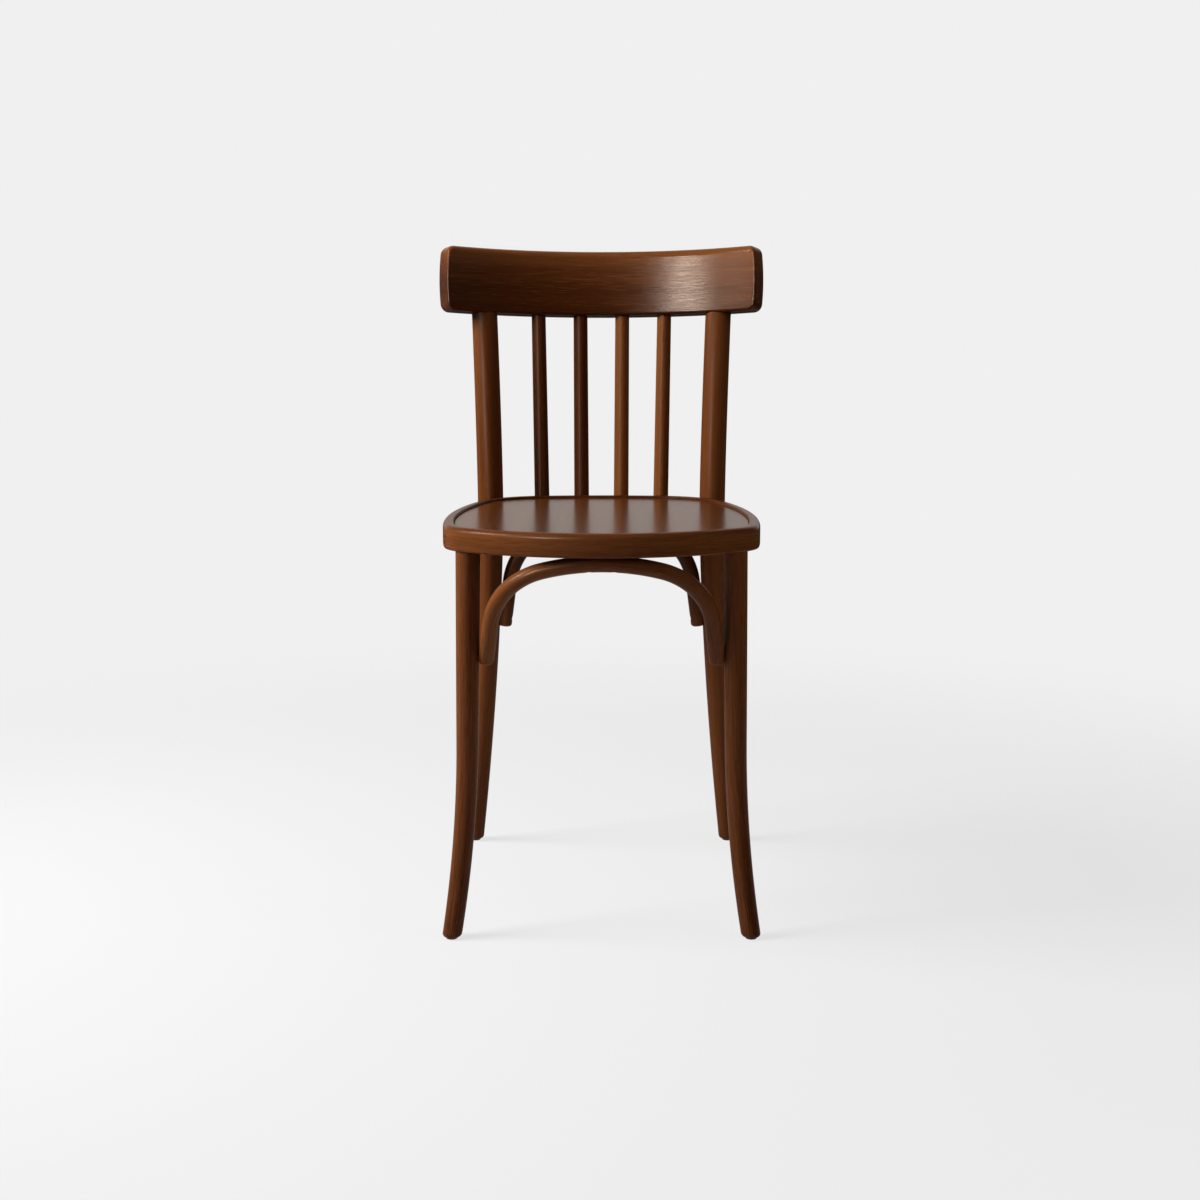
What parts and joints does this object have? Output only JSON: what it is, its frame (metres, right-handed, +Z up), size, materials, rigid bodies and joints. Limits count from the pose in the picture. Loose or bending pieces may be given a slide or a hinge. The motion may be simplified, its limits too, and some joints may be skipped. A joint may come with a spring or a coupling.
{
  "type": "bentwood dining chair",
  "caption": "Bentwood dining chair: bent seat ring with an inset panel, a back of upright round spindles under a wide curved crest rail, splayed legs and arched braces below the seat.",
  "frame": {"origin": "on the floor, under the middle of the whole chair's bounding box", "axes": "+Z up, -Y the way the sitter faces, +X to the right as seen from the front"},
  "size_m": [0.41, 0.472, 0.7858],
  "materials": {
    "stained_beech": "walnut-brown stain under satin lacquer",
    "seat_veneer": "walnut-brown stain under glossy lacquer",
    "bright_steel": "zinc plated",
    "glide_nylon": "matte dark brown"
  },
  "bodies": {
    "root": {"seat_ring": "stained_beech", "seat_panel": "seat_veneer", "front_leg_left": "stained_beech", "front_leg_right": "stained_beech", "back_post_left": "stained_beech", "back_post_right": "stained_beech", "crest_rail": "stained_beech", "spindle_outer_left": "stained_beech", "spindle_inner_left": "stained_beech", "spindle_inner_right": "stained_beech", "spindle_outer_right": "stained_beech", "front_arch": "stained_beech", "rear_arch": "stained_beech", "foot_glides": "glide_nylon", "glide_nails": "bright_steel", "post_bolts": "bright_steel", "post_bolt_washers": "bright_steel", "post_bolt_nuts": "bright_steel", "spindle_screws": "bright_steel", "leg_lock_screws": "bright_steel", "front_arch_end_screws": "bright_steel", "front_arch_crown_screws": "bright_steel", "rear_arch_end_screws": "bright_steel", "rear_arch_crown_screws": "bright_steel", "crest_nails": "bright_steel"}
  },
  "joints": []
}
